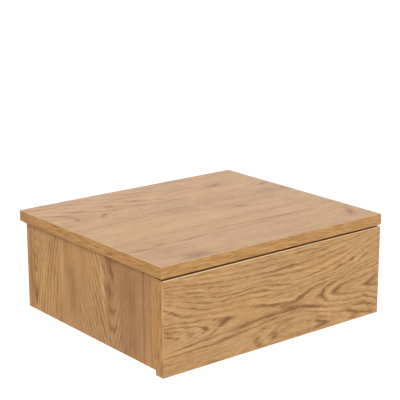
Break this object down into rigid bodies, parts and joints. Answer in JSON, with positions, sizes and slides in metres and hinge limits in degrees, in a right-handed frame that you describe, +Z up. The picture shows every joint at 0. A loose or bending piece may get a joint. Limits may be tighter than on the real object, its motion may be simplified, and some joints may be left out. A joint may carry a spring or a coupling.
{
  "type": "floating nightstand",
  "caption": "Shallow wall-hung nightstand box in oak-effect board with an overhanging top and a handle-free drawer on ball runners.",
  "frame": {"origin": "centre of the four wall screw holes, on the wall plane, at half the cabinet's height", "axes": "+X to the right seen from the front, +Y into the wall, +Z up; the drawer opens along -Y"},
  "size_m": [0.37, 0.32, 0.14],
  "materials": {
    "oak_laminate": "satin oak-effect laminate on chipboard, grain along the length",
    "oak_edge_band": "satin oak-effect edge strip",
    "drawer_board": "pale satin laminate on chipboard",
    "hardboard": "pale lacquered hardboard",
    "beech_dowel": "raw beech",
    "zinc_screw": "bright zinc plated",
    "cast_zinc_cam": "die-cast zinc, matt",
    "runner_steel": "cold rolled, zinc plated",
    "ball_steel": "polished steel balls",
    "black_plastic": "moulded, fine texture",
    "felt": "stuck-on felt dots"
  },
  "bodies": {
    "cabinet": {"top_panel": "oak_laminate", "top_front_band": "oak_edge_band", "top_left_band": "oak_edge_band", "top_right_band": "oak_edge_band", "left_side_panel": "oak_laminate", "left_side_front_band": "oak_edge_band", "left_side_bottom_band": "oak_edge_band", "right_side_panel": "oak_laminate", "right_side_front_band": "oak_edge_band", "right_side_bottom_band": "oak_edge_band", "bottom_panel": "oak_laminate", "bottom_front_band": "oak_edge_band", "back_panel": "oak_laminate", "top_cam_bolts": "zinc_screw", "top_cam_locks": "cast_zinc_cam", "bottom_cam_bolts": "zinc_screw", "bottom_cam_locks": "cast_zinc_cam", "back_cam_bolts": "zinc_screw", "back_cam_locks": "cast_zinc_cam", "cabinet_dowels": "beech_dowel", "cabinet_runner_screws": "zinc_screw", "left_runner_outer": "runner_steel", "right_runner_outer": "runner_steel"},
    "drawer": {"drawer_front": "oak_laminate", "drawer_front_top_band": "oak_edge_band", "drawer_front_bottom_band": "oak_edge_band", "drawer_front_left_band": "oak_edge_band", "drawer_front_right_band": "oak_edge_band", "drawer_left_side": "drawer_board", "drawer_left_side_band": "drawer_board", "drawer_right_side": "drawer_board", "drawer_right_side_band": "drawer_board", "drawer_back": "drawer_board", "drawer_back_band": "drawer_board", "drawer_bottom": "hardboard", "drawer_cam_bolts": "zinc_screw", "drawer_cam_locks": "cast_zinc_cam", "drawer_dowels": "beech_dowel", "drawer_runner_screws": "zinc_screw", "drawer_back_screws": "zinc_screw", "drawer_bottom_screws": "zinc_screw", "drawer_bumpers": "felt", "left_runner_inner": "runner_steel", "right_runner_inner": "runner_steel", "left_lever_rivet": "zinc_screw", "right_lever_rivet": "zinc_screw"},
    "left_middle": {"left_runner_middle": "runner_steel"},
    "right_middle": {"right_runner_middle": "runner_steel"},
    "left_outer_ball_cage": {"left_outer_cage": "runner_steel", "left_outer_balls": "ball_steel"},
    "right_outer_ball_cage": {"right_outer_cage": "runner_steel", "right_outer_balls": "ball_steel"},
    "left_inner_ball_cage": {"left_inner_cage": "runner_steel", "left_inner_balls": "ball_steel"},
    "right_inner_ball_cage": {"right_inner_cage": "runner_steel", "right_inner_balls": "ball_steel"},
    "left_lever": {"left_release_lever": "black_plastic"},
    "right_lever": {"right_release_lever": "black_plastic"}
  },
  "joints": [
    {"name": "drawer_slide", "type": "slide", "parent": "cabinet", "child": "drawer", "axis": [0, -1, 0], "range_m": [0, 0.25]},
    {"name": "left_middle_slide", "type": "slide", "parent": "cabinet", "child": "left_middle", "axis": [0, -1, 0], "range_m": [0, 0.125]},
    {"name": "left_outer_ball_cage_slide", "type": "slide", "parent": "cabinet", "child": "left_outer_ball_cage", "axis": [0, -1, 0], "range_m": [0, 0.0625]},
    {"name": "left_inner_ball_cage_slide", "type": "slide", "parent": "cabinet", "child": "left_inner_ball_cage", "axis": [0, -1, 0], "range_m": [0, 0.1875]},
    {"name": "left_lever_pivot", "type": "hinge", "parent": "drawer", "child": "left_lever", "pos_m": [-0.1508, -0.201, -0.003], "axis": [1, 0, 0], "range_deg": [0, 8], "stiffness_Nm_per_rad": 0.05},
    {"name": "right_middle_slide", "type": "slide", "parent": "cabinet", "child": "right_middle", "axis": [0, -1, 0], "range_m": [0, 0.125]},
    {"name": "right_outer_ball_cage_slide", "type": "slide", "parent": "cabinet", "child": "right_outer_ball_cage", "axis": [0, -1, 0], "range_m": [0, 0.0625]},
    {"name": "right_inner_ball_cage_slide", "type": "slide", "parent": "cabinet", "child": "right_inner_ball_cage", "axis": [0, -1, 0], "range_m": [0, 0.1875]},
    {"name": "right_lever_pivot", "type": "hinge", "parent": "drawer", "child": "right_lever", "pos_m": [0.1508, -0.201, -0.003], "axis": [-1, 0, 0], "range_deg": [0, 8], "stiffness_Nm_per_rad": 0.05}
  ],
  "couplings": [
    {"joint": "left_middle_slide", "follows": "drawer_slide", "ratio": 0.5},
    {"joint": "left_outer_ball_cage_slide", "follows": "drawer_slide", "ratio": 0.25},
    {"joint": "left_inner_ball_cage_slide", "follows": "drawer_slide", "ratio": 0.75},
    {"joint": "right_middle_slide", "follows": "drawer_slide", "ratio": 0.5},
    {"joint": "right_outer_ball_cage_slide", "follows": "drawer_slide", "ratio": 0.25},
    {"joint": "right_inner_ball_cage_slide", "follows": "drawer_slide", "ratio": 0.75}
  ]
}
